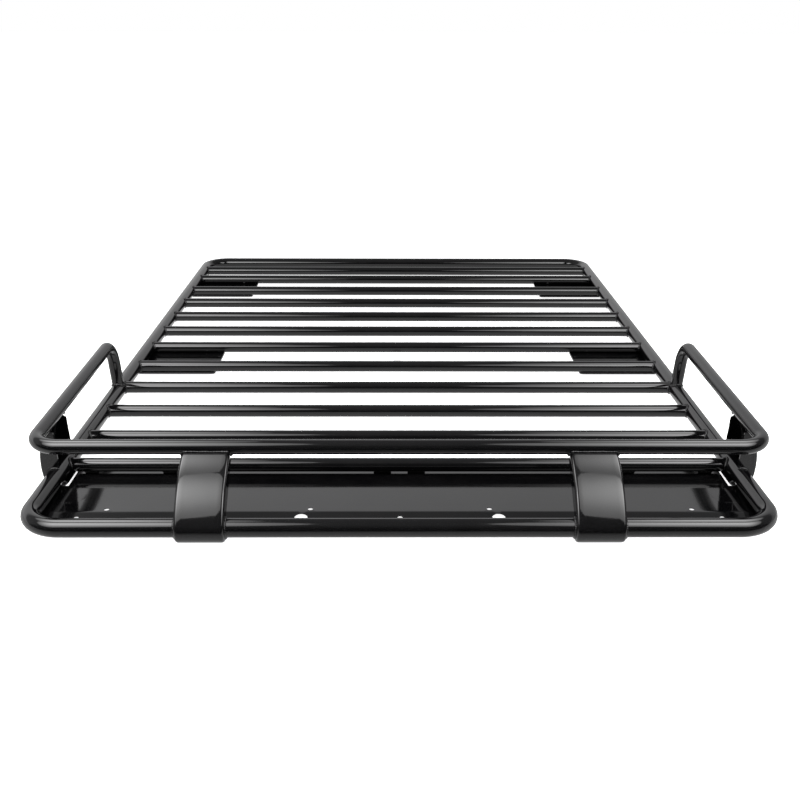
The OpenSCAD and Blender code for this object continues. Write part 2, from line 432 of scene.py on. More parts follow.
def slot_ring(x: float, y: float, length: float, width: float, n: int = 12) -> np.ndarray:
    """A ring round a slot along X with round ends."""
    r, reach = width / 2, (length - width) / 2
    a = np.radians(np.linspace(-90, 90, n))
    right = np.stack([x + reach + r * np.cos(a), y + r * np.sin(a)], 1)
    left = np.stack([x - reach - r * np.cos(a), y - r * np.sin(a)], 1)
    return np.vstack([right, left])


def bevel(obj: bpy.types.Object, width: float, angle: float = 40.0) -> None:
    """Rounds an object's sharp edges."""
    mod = obj.modifiers.new("edge_round", "BEVEL")
    mod.width = width
    mod.segments = 2
    mod.limit_method = "ANGLE"
    mod.angle_limit = math.radians(angle)
    mod.harden_normals = True


def thicken(obj: bpy.types.Object, thickness: float) -> None:
    """Gives an open sheet its thickness, away from its outer face."""
    mod = obj.modifiers.new("sheet_thickness", "SOLIDIFY")
    mod.thickness = thickness
    mod.offset = -1.0
    mod.use_even_offset = True


def bake_modifiers(obj: bpy.types.Object, sharp_angle: float | None = None) -> None:
    """Applies an object's modifiers to its mesh, in their order.

    Args:
        obj: The object.
        sharp_angle: Edges of the result sharper than this many degrees are made sharp.
    """
    depsgraph = bpy.context.evaluated_depsgraph_get()
    done = bpy.data.meshes.new_from_object(obj.evaluated_get(depsgraph))
    obj.modifiers.clear()
    obj.data = done
    if sharp_angle is not None:
        done.set_sharp_from_angle(angle=math.radians(sharp_angle))


# ---------------------------------------------------------------- the rack


@dataclass(frozen=True)
class Datum:
    """Places and radii that several pieces share, read from the frame."""

    tube_r: float
    slat_r: float
    rail_r: float
    half_x: float
    front_y: float
    rear_y: float
    middle_y: float
    plane_z: float

    @classmethod
    def read(cls) -> "Datum":
        """Reads the frame's boxes.

        Returns:
            The shared places.
        """
        lo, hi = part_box("front_perimeter_tube")
        _, back_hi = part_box("rear_perimeter_tube")
        tube_r = (hi.z - lo.z) / 2
        slat_lo, slat_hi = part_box("slat_01")
        return cls(
            tube_r=tube_r,
            slat_r=(slat_hi.z - slat_lo.z) / 2,
            rail_r=12.7 * MM,
            half_x=hi.x - tube_r,
            front_y=lo.y + tube_r,
            rear_y=back_hi.y - tube_r,
            middle_y=hi.y,
            plane_z=(lo.z + hi.z) / 2,
        )

    def tube_face(self, z: np.ndarray) -> np.ndarray:
        """How far from the middle the side tube's inner face stands at height z above the plane."""
        return self.half_x - np.sqrt(np.maximum(self.tube_r**2 - z**2, 0))


class Builder:
    """What every sub-assembly needs: the datum, the finishes and a way to hand a piece over."""

    def __init__(self, datum: Datum, palette: Palette) -> None:
        """Keeps the shared parts.

        Args:
            datum: The rack's shared places.
            palette: The rack's finishes.
        """
        self.datum = datum
        self.palette = palette
        self.pieces: list[bpy.types.Object] = []

    def dress(self, obj: bpy.types.Object, slot: str, nodes: tuple[str, ...] = (), weld: bool = False) -> None:
        """Gives a piece its finish and its place in the frame.

        Args:
            obj: The piece.
            slot: The record's material slot.
            nodes: CAD nodes that it stands for.
            weld: True for the weld finish.
        """
        obj.data.materials.clear()
        obj.data.materials.append(self.palette.weld if weld else self.palette.by_slot[slot])
        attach(obj, BODY)
        if nodes:
            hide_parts(*nodes)
        self.pieces.append(obj)
        LOG.info("%s: %d faces, slot %s", obj.name, len(obj.data.polygons), slot)


@dataclass
class WeldSize:
    """Size and rhythm of a weld bead."""

    radius: float = 2.1 * MM
    ripple: float = 0.16
    pitch: float = 2.6 * MM
    wander: float = 0.12
    sides: int = 10


def bead(path: np.ndarray, guide: np.ndarray, size: WeldSize, closed: bool, rng: np.random.Generator) -> tuple:
    """A weld bead laid along a joint.

    Its radius is r (1 + ripple |sin(pi s / pitch)| + slow wander), where s is the length laid so
    far, and an open bead shrinks to a point at both ends.

    Args:
        path: Points along the joint.
        guide: Directions roughly square to it.
        size: The bead's size.
        closed: True when the joint runs right round.
        rng: Source of the wander.

    Returns:
        Points, quads and triangles.
    """
    s = np.r_[0, np.cumsum(np.linalg.norm(np.diff(path, axis=0), axis=1))]
    total = s[-1]
    count = max(12, int(total / (size.pitch / 5)))
    at = np.linspace(0, total, count, endpoint=not closed)
    p = np.stack([np.interp(at, s, path[:, k]) for k in range(3)], 1)
    g = np.stack([np.interp(at, s, guide[:, k]) for k in range(3)], 1)
    waves = max(1, round(total / size.pitch))
    ripple = np.abs(np.sin(np.pi * waves * at / total))
    k = np.arange(1, 5)[:, None]
    sway = rng.normal(size=(4, 1)) / k
    slow = (sway * np.sin(2 * np.pi * k * at / total + rng.uniform(0, 6.28, (4, 1)))).sum(0)
    radius = size.radius * (0.92 + size.ripple * ripple + size.wander * np.clip(slow, -1.5, 1.5) / 1.5)
    if closed:
        rings = rings_along(p, g, radius, size.sides, closed=True)
        quads = grid_faces(len(rings) + 1, size.sides, True) % (len(rings) * size.sides)
        return rings.reshape(-1, 3), quads, np.zeros((0, 3), int)
    ends = np.minimum(at, total - at)
    radius = radius * np.sqrt(np.clip(ends / (1.2 * size.radius), 0.02, 1))
    return capped(rings_along(p, g, radius, size.sides))


def joined(parts: list[tuple]) -> tuple[np.ndarray, np.ndarray, np.ndarray]:
    """Several sets of points and faces as one."""
    verts, quads, tris, at = [], [], [], 0
    for v, q, t in parts:
        verts.append(v)
        quads.append(q + at)
        tris.append(t + at)
        at += len(v)
    return np.vstack(verts), np.vstack(quads), np.vstack(tris)


@dataclass
class Perimeter:
    """The bent tube loop, in a front and a rear half that meet at mid length."""

    builder: Builder
    corner_r: float = 63.5 * MM
    sides: int = 64
    bend_steps: int = 28

    def half_path(self, cross_y: float, towards: float) -> tuple[np.ndarray, np.ndarray]:
        """The centreline of one half, from its left end round to its right end.

        Args:
            cross_y: Where its cross run is.
            towards: +1 when the sides run towards +Y, -1 when they run towards -Y.

        Returns:
            Path and guide.
        """
        d = self.builder.datum
        x, r = d.half_x, self.corner_r
        ex, ey = np.array([1.0, 0, 0]), np.array([0, towards, 0.0])
        z = np.array([0, 0, d.plane_z])
        bend = z + [x - r, cross_y + towards * r, 0]
        end = z + [x, d.middle_y, 0]
        flip = np.array([-1.0, 1, 1])
        left = arc_points(bend * flip, -ex, -ey, r, 0, 90, self.bend_steps)
        right = arc_points(bend, ex, -ey, r, 90, 0, self.bend_steps)
        path = np.vstack([end * flip, left, right, end])
        (path,) = without_repeats(path)
        return path, np.tile([0.0, 0, 1], (len(path), 1))

    def build(self) -> None:
        """Builds both halves."""
        d = self.builder.datum
        for node, cross_y, towards in (
            ("front_perimeter_tube", d.front_y, 1.0),
            ("rear_perimeter_tube", d.rear_y, -1.0),
        ):
            path, guide = self.half_path(cross_y, towards)
            verts, quads, tris = capped(rings_along(path, guide, d.tube_r, self.sides))
            obj = make_piece(f"{node}_shell", verts, quads, tris)
            self.builder.dress(obj, "perimeter_paint", (node,))


@dataclass
class Slats:
    """The twelve cross slats, their ends coped to the side tubes."""

    builder: Builder
    count: int = 12
    sides: int = 48

    def end_x(self, z: np.ndarray) -> np.ndarray:
        """Where a slat's wall meets the side tube, at height z above the plane."""
        return self.builder.datum.tube_face(z) + 0.02 * MM

    def build(self) -> None:
        """Builds each slat as a grid: x = t times its coped end, round the circle."""
        d = self.builder.datum
        a = np.linspace(0, 2 * np.pi, self.sides, endpoint=False)
        y, z = d.slat_r * np.cos(a), d.slat_r * np.sin(a)
        t = np.r_[-1, -0.99, -0.6, -0.2, 0.2, 0.6, 0.99, 1]
        x = t[:, None] * self.end_x(z)[None]
        for i in range(1, self.count + 1):
            node = f"slat_{i:02d}"
            lo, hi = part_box(node)
            middle = (lo + hi) / 2
            across = [np.broadcast_to(v, x.shape) for v in (middle.y + y, middle.z + z)]
            rings = np.stack([x, *across], -1)
            verts, quads, tris = capped(rings)
            obj = make_piece(f"{node}_tube", verts, quads, tris)
            self.builder.dress(obj, "slat_paint", (node,))
        self.weld(a)

    def weld(self, angles: np.ndarray) -> None:
        """Lays a ring bead round each slat end, on the curve where the two tubes meet.

        Args:
            angles: Angles round the slat.
        """
        d = self.builder.datum
        rng = np.random.default_rng(11)
        a = np.append(angles, 2 * np.pi)
        y, z = d.slat_r * np.cos(a), d.slat_r * np.sin(a)
        reach = self.end_x(z)
        out = np.stack([np.zeros_like(a), np.cos(a), np.sin(a)], 1)
        for side in Side:
            parts = []
            for i in range(1, self.count + 1):
                lo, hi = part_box(f"slat_{i:02d}")
                middle = (lo + hi) / 2
                path = np.stack([side.value * (reach - 0.6 * MM), middle.y + y, middle.z + z], 1)
                parts.append(bead(path, out, WeldSize(), True, rng))
            obj = make_piece(f"slat_welds_{side.word}", *joined(parts), sharp_angle=None)
            self.builder.dress(obj, "slat_paint", weld=True)


@dataclass
class UpperRail:
    """The raised rail: front run, corners, rising side runs, rear bends and legs."""

    builder: Builder
    half_w: float = 612.9 * MM
    flare: float = 3.4 * MM
    lean: float = 7.6 * MM
    corner_r: float = 48 * MM
    bend_r: float = 44 * MM
    sides: int = 56
    bend_steps: int = 24

    def path(self) -> tuple[np.ndarray, np.ndarray]:
        """The centreline, from the right leg's foot round the front to the left leg's foot.

        It is laid out flat with the front run through the origin, flared and leaned outwards
        as the legs need, turned by the slope and set in place.

        Returns:
            Path and guide.
        """
        d = self.builder.datum
        w, r, b, back = self.half_w, self.corner_r, self.bend_r, LEG_BACK
        lo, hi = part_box("upper_rail")
        front_y = lo.y + d.rail_r
        front_z = hi.z - d.rail_r - back * math.sin(math.radians(RAIL_SLOPE))
        drop = front_z - d.plane_z
        x, y, z = np.eye(3)
        leg = np.linspace(0, 1, 6)[:, None]
        foot = np.array([w, back, -drop])
        knee = np.array([w, back, -b])
        leg_run = foot + leg * (knee - foot)
        bend = arc_points(np.array([w, back - b, -b]), y, z, b, 0, 90, self.bend_steps)
        corner = arc_points(np.array([w - r, r, 0]), x, -y, r, 0, 90, self.bend_steps)
        side_run = bend[-1] + np.linspace(0, 1, 6)[:, None] * (corner[0] - bend[-1])
        half = np.vstack([leg_run, bend, side_run, corner])
        straight = len(leg_run) + len(bend) + len(side_run)
        guide = np.vstack([np.tile(x, (straight, 1)), unit(corner - np.array([w - r, r, 0]))])
        half, guide = without_repeats(half, guide)
        # guides turn from sideways on the side runs to forwards on the front run
        flip = np.array([-1.0, 1, 1])
        path = np.vstack([half, half[::-1] * flip])
        guide = np.vstack([guide, guide[::-1] * flip])
        flare = self.flare * np.clip(path[:, 1] / back, 0, 1)
        lean = self.lean * np.clip((-path[:, 2]) / drop, 0, 1)
        path[:, 0] += np.sign(path[:, 0]) * (flare - lean)
        turn = np.array(Matrix.Rotation(math.radians(RAIL_SLOPE), 3, "X"))
        return path @ turn.T + [0, front_y, front_z], guide @ turn.T

    def build(self) -> None:
        """Builds the rail with its feet coped over the side tubes, and welds them."""
        d = self.builder.datum
        path, guide = self.path()
        rings = rings_along(path, guide, d.rail_r, self.sides)
        for end in (0, -1):
            ring = rings[end]
            off = np.abs(ring[:, 0]) - d.half_x
            ring[:, 2] = d.plane_z + np.sqrt(np.maximum(d.tube_r**2 - off**2, 0)) + 0.02 * MM
        verts, quads, tris = capped(rings)
        obj = make_piece("upper_rail_tube", verts, quads, tris)
        self.builder.dress(obj, "rail_paint", ("upper_rail",))
        rng = np.random.default_rng(5)
        parts = []
        for end in (0, -1):
            ring = np.vstack([rings[end], rings[end][:1]])
            centre = rings[end].mean(0)
            out = unit((ring - centre) * [1, 1, 0])
            path = ring + [0, 0, 0.5 * MM]
            parts.append(bead(path, out, WeldSize(radius=2.5 * MM), True, rng))
        obj = make_piece("leg_welds", *joined(parts), sharp_angle=None)
        self.builder.dress(obj, "rail_paint", weld=True)


@dataclass(frozen=True)
class BracketShape:
    """Side view of a pressed bracket, the perimeter tube at the origin, outwards being -p."""

    wrap_end: float
    turn: float
    radius: float
    top: float
    rail_p: float
    rail_q: float


@dataclass
class Brackets:
    """The two front and two side pressed channels that carry the upper rail."""

    builder: Builder
    width: float = 80 * MM
    thickness: float = 3 * MM
    edge_r: float = 5.5 * MM
    gap: float = 8 * MM
    # where the wrap ends, where it turns into the larger arc, that arc's radius and its top
    front_view: tuple[float, ...] = (285, 151, 178 * MM, 107)
    side_view: tuple[float, ...] = (325, 192, 140 * MM, 151.8)
    # X of the rail above the side brackets
    rail_x: float = 614 * MM

    @staticmethod
    def depth_to_circle(p: np.ndarray, inward: np.ndarray, centre: np.ndarray, r: float) -> np.ndarray:
        """Distance from each point along its inward direction to a circle, or infinity."""
        rel = p - centre
        b = (rel * inward).sum(1)
        c = (rel**2).sum(1) - r * r
        disc = b * b - c
        hit = -b - np.sqrt(np.maximum(disc, 0))
        return np.where((disc > 0) & (hit > 0), hit, np.inf)

    @staticmethod
    def depth_to_line(p: np.ndarray, inward: np.ndarray, a: np.ndarray, b: np.ndarray) -> np.ndarray:
        """Distance from each point along its inward direction to the line through a and b."""
        n = np.array([-(b - a)[1], (b - a)[0]])
        down = (inward * n).sum(1)
        hit = ((a - p) * n).sum(1) / np.where(np.abs(down) < 1e-9, 1e-9, down)
        return np.where(hit > 0, hit, np.inf)

    def profile(self, shape: BracketShape) -> tuple[np.ndarray, np.ndarray, np.ndarray]:
        """Outer face in side view.

        The face wraps the tube as an arc of the wrap radius, and runs on without a kink as an arc
        of the larger radius. A flange reaches inwards until it meets a tube or the straight line
        between the two.

        Args:
            shape: The bracket's side view.

        Returns:
            Points, inward directions and flange depths.
        """
        d = self.builder.datum
        wrap_r = d.tube_r + self.gap
        low = directions(np.linspace(shape.wrap_end, shape.turn, 44))
        high = directions(np.linspace(shape.turn, shape.top, 40)[1:])
        centre = (wrap_r - shape.radius) * directions(shape.turn)
        p = np.vstack([wrap_r * low, centre + shape.radius * high])
        inward = -np.vstack([low, high])
        rail = np.array([shape.rail_p, shape.rail_q])
        foot = rail + d.rail_r * directions(-50)
        head = d.tube_r * directions(60)
        depth = np.minimum.reduce(
            [
                self.depth_to_circle(p, inward, np.zeros(2), d.tube_r),
                self.depth_to_circle(p, inward, rail, d.rail_r),
                self.depth_to_line(p, inward, head, foot),
            ]
        )
        return p, inward, np.clip(depth, self.edge_r + 0.6 * MM, 60 * MM)

    def channel(self, shape: BracketShape) -> tuple[np.ndarray, np.ndarray]:
        """The channel's outer skin as a grid: along the side view, and round the cross-section.

        The cross-section goes down one flange, round an edge bend, across the web, round the
        other bend and down the other flange: (w, depth) with the bends as quarter circles.

        Args:
            shape: The bracket's side view.

        Returns:
            Grid of (w, p, q) points and its quads.
        """
        p, inward, depth = self.profile(shape)
        half, r = self.width / 2, self.edge_r
        s = np.radians(np.linspace(0, 90, 9))
        bend_w, bend_d = half - r + r * np.cos(s), r - r * np.sin(s)
        f = np.linspace(1, 0, 7)[:-1]
        web = np.linspace(half - r, -half + r, 11)[1:-1]
        w = np.r_[np.full(6, half), bend_w, web, -bend_w[::-1], np.full(6, -half)]
        flat = np.r_[np.full(6, r), bend_d, np.zeros(9), bend_d[::-1], np.full(6, r)]
        reach = np.r_[f, np.zeros(9 + 9 + 9), f[::-1]]
        depths = flat[None] + reach[None] * (depth[:, None] - r)
        q = p[:, None] + inward[:, None] * depths[..., None]
        grid = np.concatenate([np.broadcast_to(w[None, :, None], (len(p), len(w), 1)), q], -1)
        return grid, grid_faces(len(p), len(w), False)

    def place(self, grid: np.ndarray, node: str, side: Side) -> np.ndarray:
        """Moves (w, p, q) points to where the node's bracket is.

        Args:
            grid: Points in the bracket's own view.
            node: The CAD node.
            side: The side that it is on.

        Returns:
            Points in the frame.
        """
        d = self.builder.datum
        lo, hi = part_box(node)
        middle = (lo + hi) / 2
        w, p, q = grid[..., 0], grid[..., 1], grid[..., 2]
        if node.startswith("front"):
            return np.stack([middle.x + w, d.front_y + p, d.plane_z + q], -1)
        return np.stack([side.value * (d.half_x - p), middle.y + w, d.plane_z + q], -1)

    def shape_for(self, front: bool) -> BracketShape:
        """The side view of the front brackets or of the side ones."""
        d = self.builder.datum
        lo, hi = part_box("upper_rail")
        rise = math.sin(math.radians(RAIL_SLOPE))
        rail_z = hi.z - d.rail_r - LEG_BACK * rise - d.plane_z
        if front:
            return BracketShape(*self.front_view, lo.y + d.rail_r - d.front_y, rail_z)
        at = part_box("side_bracket_left")
        along = (at[0].y + at[1].y) / 2 - (lo.y + d.rail_r)
        return BracketShape(*self.side_view, d.half_x - self.rail_x, rail_z + along * rise)

    def build(self) -> None:
        """Builds the four brackets and their welds."""
        for front in (True, False):
            shape = self.shape_for(front)
            grid, quads = self.channel(shape)
            for side in Side:
                node = f"{'front' if front else 'side'}_bracket_{side.word}"
                verts = self.place(grid, node, side).reshape(-1, 3)
                turned = quads if front or side is Side.RIGHT else quads[:, ::-1]
                obj = make_piece(f"{node}_channel", verts, turned, solid=False)
                self.face_out(obj)
                thicken(obj, self.thickness)
                bevel(obj, 0.7 * MM, 50)
                bake_modifiers(obj)
                self.builder.dress(obj, "bracket_paint", (node,))
                self.weld(shape, node, side)

    @staticmethod
    def face_out(obj: bpy.types.Object) -> None:
        """Turns the skin's faces away from the tubes, if they look inwards."""
        centres = face_rows(obj.data, "center")
        if (face_rows(obj.data, "normal") * (centres - centres.mean(0))).sum() < 0:
            obj.data.flip_normals()

    def weld(self, shape: BracketShape, node: str, side: Side) -> None:
        """Lays beads along the bracket's top edge and where its flanges meet both tubes.

        Args:
            shape: The bracket's side view.
            node: The CAD node.
            side: The side that it is on.
        """
        d = self.builder.datum
        rng = np.random.default_rng(len(node) + side.value)
        p, inward, _ = self.profile(shape)
        half = self.width / 2
        parts = []
        top = p[-1] - inward[-1] * 0.2 * MM
        w = np.linspace(-half + 1.5 * MM, half - 1.5 * MM, 40)
        line = np.column_stack([w, np.tile(top, (len(w), 1))])
        out = np.column_stack([np.zeros(len(w)), np.tile(-inward[-1], (len(w), 1))])
        parts.append((line, out, WeldSize(radius=2.6 * MM)))
        for sign in (-1, 1):
            for centre, r, a, b in (
                (np.zeros(2), d.tube_r, shape.wrap_end, 62.0),
                (np.array([shape.rail_p, shape.rail_q]), d.rail_r, -52.0, -150.0),
            ):
                way = directions(np.linspace(a, b, 60))
                line = np.column_stack([np.full(60, sign * (half + 0.3 * MM)), centre + (r + 0.3 * MM) * way])
                out = np.column_stack([np.full(60, float(sign)), way])
                parts.append((line, out, WeldSize(radius=2.4 * MM)))
        meshes = []
        for line, out, size in parts:
            path = self.place(line, node, side)
            zero = self.place(np.zeros((1, 3)), node, side)
            guide = self.place(out, node, side) - zero
            meshes.append(bead(path, guide, size, False, rng))
        obj = make_piece(f"{node}_welds", *joined(meshes), sharp_angle=None)
        self.builder.dress(obj, "bracket_paint", weld=True)


@dataclass
class LegPlates:
    """The three pairs of flat plates that the roof legs bolt to."""

    builder: Builder
    slot_length: float = 22 * MM
    slot_width: float = 10 * MM
    slot_inset: float = 35.5 * MM
    slot_pitch: float = 90 * MM
    slot_shift: float = 4 * MM
    corner: float = 8 * MM
    inner_x: float = 425 * MM
    # how far behind the front tube the sheet's bolts pass through the front plates
    bolt_back: float = 273 * MM
    # X, distance behind the middle and radius of the round holes of the other plates
    round_holes: tuple[tuple[float, float, float], ...] = ((433 * MM, 38 * MM, 4 * MM), (468 * MM, 56 * MM, 3 * MM))

    def build(self) -> None:
        """Builds all six plates."""
        for pair in PlatePair:
            for side in Side:
                self.plate(pair, side)

    def plate(self, pair: PlatePair, side: Side) -> None:
        """Builds one plate: a rounded outline with its slots and holes, thickened downwards.

        Args:
            pair: Which pair.
            side: Which side.
        """
        d = self.builder.datum
        node = f"{pair.value}_plate_{side.word}"
        lo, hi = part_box(node)
        x0, x1 = sorted((abs(lo.x), abs(hi.x)))
        y0, y1, c = lo.y, hi.y, self.corner
        a = np.radians(np.linspace(180, 270, 9))
        low = np.stack([x0 + c + c * np.cos(a), y0 + c + c * np.sin(a)], 1)
        high = np.stack([x0 + c + c * np.cos(a), y1 - c - c * np.sin(a)], 1)[::-1]
        outline = np.vstack([low, [[x1, y0], [x1, y1]], high])
        mid = (y0 + y1) / 2
        first = self.inner_x + self.slot_inset
        holes = [
            slot_ring(first + i * self.slot_pitch, mid + self.slot_shift, self.slot_length, self.slot_width)
            for i in range(2)
        ]
        if pair is PlatePair.FRONT:
            holes += [circle(x * MM, d.front_y + self.bolt_back, 3.3 * MM) for x in BOLT_X[-2:]]
        else:
            holes += [circle(x, mid + back, r) for x, back, r in self.round_holes]
        gx, gy = np.meshgrid(np.linspace(x0, x1, 14)[1:-1], np.linspace(y0, y1, 12)[1:-1])
        flat, tris = flat_panel(outline, holes, np.stack([gx.ravel(), gy.ravel()], 1))
        verts = np.column_stack([side.value * flat[:, 0], flat[:, 1], np.full(len(flat), hi.z)])
        obj = make_piece(f"{node}_sheet", verts, np.zeros((0, 4), int), tris, solid=False)
        up_down(obj)
        thicken(obj, hi.z - lo.z)
        bevel(obj, 0.5 * MM)
        bake_modifiers(obj)
        self.builder.dress(obj, "plate_paint", (node,))


def face_rows(mesh: bpy.types.Mesh, what: str) -> np.ndarray:
    """The "normal" or the "center" of each face, one row each."""
    rows = np.zeros(len(mesh.polygons) * 3)
    mesh.polygons.foreach_get(what, rows)
    return rows.reshape(-1, 3)


def up_down(obj: bpy.types.Object) -> None:
    """Turns an open sheet's faces up."""
    if face_rows(obj.data, "normal")[:, 2].mean() < 0:
        obj.data.flip_normals()


@dataclass
class WindDeflector:
    """The sheet under the front bay, with a sloping front lip and a slight crown."""

    builder: Builder
    thickness: float = 1.5 * MM
    crease: float = 88 * MM
    lip: float = 35 * MM
    lip_slope: float = 10.0
    fold_r: float = 1.6 * MM
    end_sag: float = 2.2 * MM
    hole_back: float = 9 * MM
    lip_hole_at: float = 17 * MM
    tab_hole_at: float = 185 * MM
    # how far the side notches reach in from the side tube's centreline, and their room round the bracket
    notch_reach: float = 20.5 * MM
    notch_room: float = 1 * MM

    def flat_points(self) -> tuple[np.ndarray, list[np.ndarray], np.ndarray]:
        """The sheet unfolded: X across, and v back from the crease, the lip at negative v.

        Returns:
            Outline, holes and loose points.
        """
        d = self.builder.datum
        _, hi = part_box("wind_deflector")
        half = hi.x
        back = hi.y - (d.front_y + self.crease)
        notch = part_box("side_bracket_left")
        n0, n1 = (y - (d.front_y + self.crease) for y in (notch[0].y - self.notch_room, notch[1].y + self.notch_room))
        nx = d.half_x - self.notch_reach
        right = np.array([[half, -self.lip], [half, n0], [nx, n0], [nx, n1], [half, n1], [half, back]])
        outline = np.vstack([right, right[::-1] * [-1, 1]])
        holes = [circle(x * MM, self.hole_back, 4.5 * MM) for x in (-497, -152, 152, 497)]
        holes += [circle(x * MM, -self.lip_hole_at, 11 * MM, 44) for x in (-166, 166)]
        holes += [circle(x * MM, -self.lip_hole_at, 4.5 * MM) for x in (-542, 0, 542)]
        holes += [circle(x * MM, self.tab_hole_at, 3.3 * MM) for x in BOLT_X]
        xs = np.linspace(-half, half, 84)[1:-1]
        near = np.linspace(-4 * MM, 4 * MM, 9)
        vs = np.r_[np.linspace(-self.lip, -6 * MM, 7)[1:], near, np.linspace(8 * MM, back, 22)[:-1]]
        gx, gy = np.meshgrid(xs, vs)
        pts = np.stack([gx.ravel(), gy.ravel()], 1)
        clear = (np.abs(pts[:, 0]) < nx - 4 * MM) | (pts[:, 1] < n0 - 4 * MM) | (pts[:, 1] > n1 + 4 * MM)
        return outline, holes, pts[clear]

    def build(self) -> None:
        """Bends the flat sheet and thickens it.

        The height falls off smoothly in front of the crease: z = -tan(slope) (sqrt(v^2 + f^2) - v) / 2,
        f being the fold's softness. The ends also sag, by end_sag |x / half width|^3 sin(pi s)^0.8, where
        s goes from 0 at the lip's edge to 1 behind the crease.
        """
        d = self.builder.datum
        _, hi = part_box("wind_deflector")
        flat, tris = flat_panel(*self.flat_points())
        x, v = flat[:, 0], flat[:, 1]
        slope = math.tan(math.radians(self.lip_slope))
        fall = slope * (np.sqrt(v * v + self.fold_r**2) - v) / 2
        shrink = np.where(v < 0, math.cos(math.radians(self.lip_slope)), 1.0)
        room = np.clip((v + self.lip) / (self.lip + 150 * MM), 0, 1)
        bow = self.end_sag * np.abs(x / hi.x) ** 3 * np.sin(np.pi * room) ** 0.8
        z = hi.z - fall - bow
        verts = np.column_stack([x, d.front_y + self.crease + v * shrink, z])
        obj = make_piece("wind_deflector_sheet", verts, np.zeros((0, 4), int), tris, solid=False, sharp_angle=60.0)
        up_down(obj)
        thicken(obj, self.thickness)
        bake_modifiers(obj, sharp_angle=40.0)
        self.builder.dress(obj, "sheet_paint", ("wind_deflector",))


@dataclass
class SlatTabs:
    """Spacer tabs under the first slat that the sheet's rear edge is bolted to."""

    builder: Builder
    inner_width: float = 32 * MM
    outer_width: float = 25 * MM
    # angles round the slat of each tab's front and rear beads
    bead_angles: tuple[float, float] = (-112, -18)

    def width(self, x: float) -> float:
        """The width of the tab at x mm; the two near the middle are wider."""
        return self.inner_width if abs(x) < 100 else self.outer_width

    def build(self) -> None:
        """Builds each tab as a side view carried across its width, rounded at the edges.

        The side view follows the slat's underside as an arc and then runs back level.
        """
        d = self.builder.datum
        lo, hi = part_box("slat_tabs")
        slat_lo, slat_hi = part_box("slat_01")
        mid = (slat_lo + slat_hi) / 2
        top, bottom = hi.z, lo.z
        s = np.radians(np.linspace(-90, -14, 9))
        y = mid.y + (d.slat_r + 0.1 * MM) * np.cos(s)
        z = mid.z + (d.slat_r + 0.1 * MM) * np.sin(s)
        z = np.minimum(z, top)
        view = np.vstack([np.stack([y, z], 1), [[hi.y, top], [hi.y, bottom], [mid.y, bottom]]])
        parts = []
        for x in BOLT_X:
            w = self.width(x)
            rings = np.stack([np.column_stack([np.full(len(view), x * MM + e * w / 2), view]) for e in (-1, 1)])
            parts.append(capped(rings))
        obj = make_piece("slat_tab_blocks", *joined(parts))
        bevel(obj, 0.6 * MM)
        bake_modifiers(obj)
        self.builder.dress(obj, "plate_paint", ("slat_tabs",))
        rng = np.random.default_rng(3)
        beads = []
        for x in BOLT_X:
            w = self.width(x)
            px = np.linspace(x * MM - w / 2, x * MM + w / 2, 20)
            for degrees in self.bead_angles:
                ang = math.radians(degrees)
                py, pz = mid.y + d.slat_r * math.cos(ang), mid.z + d.slat_r * math.sin(ang)
                line = np.stack([px, np.full(20, py), np.full(20, pz)], 1)
                out = np.tile([0.0, math.cos(ang), math.sin(ang)], (20, 1))
                beads.append(bead(line, out, WeldSize(radius=1.8 * MM), False, rng))
        obj = make_piece("tab_welds", *joined(beads), sharp_angle=None)
        self.builder.dress(obj, "slat_paint", weld=True)


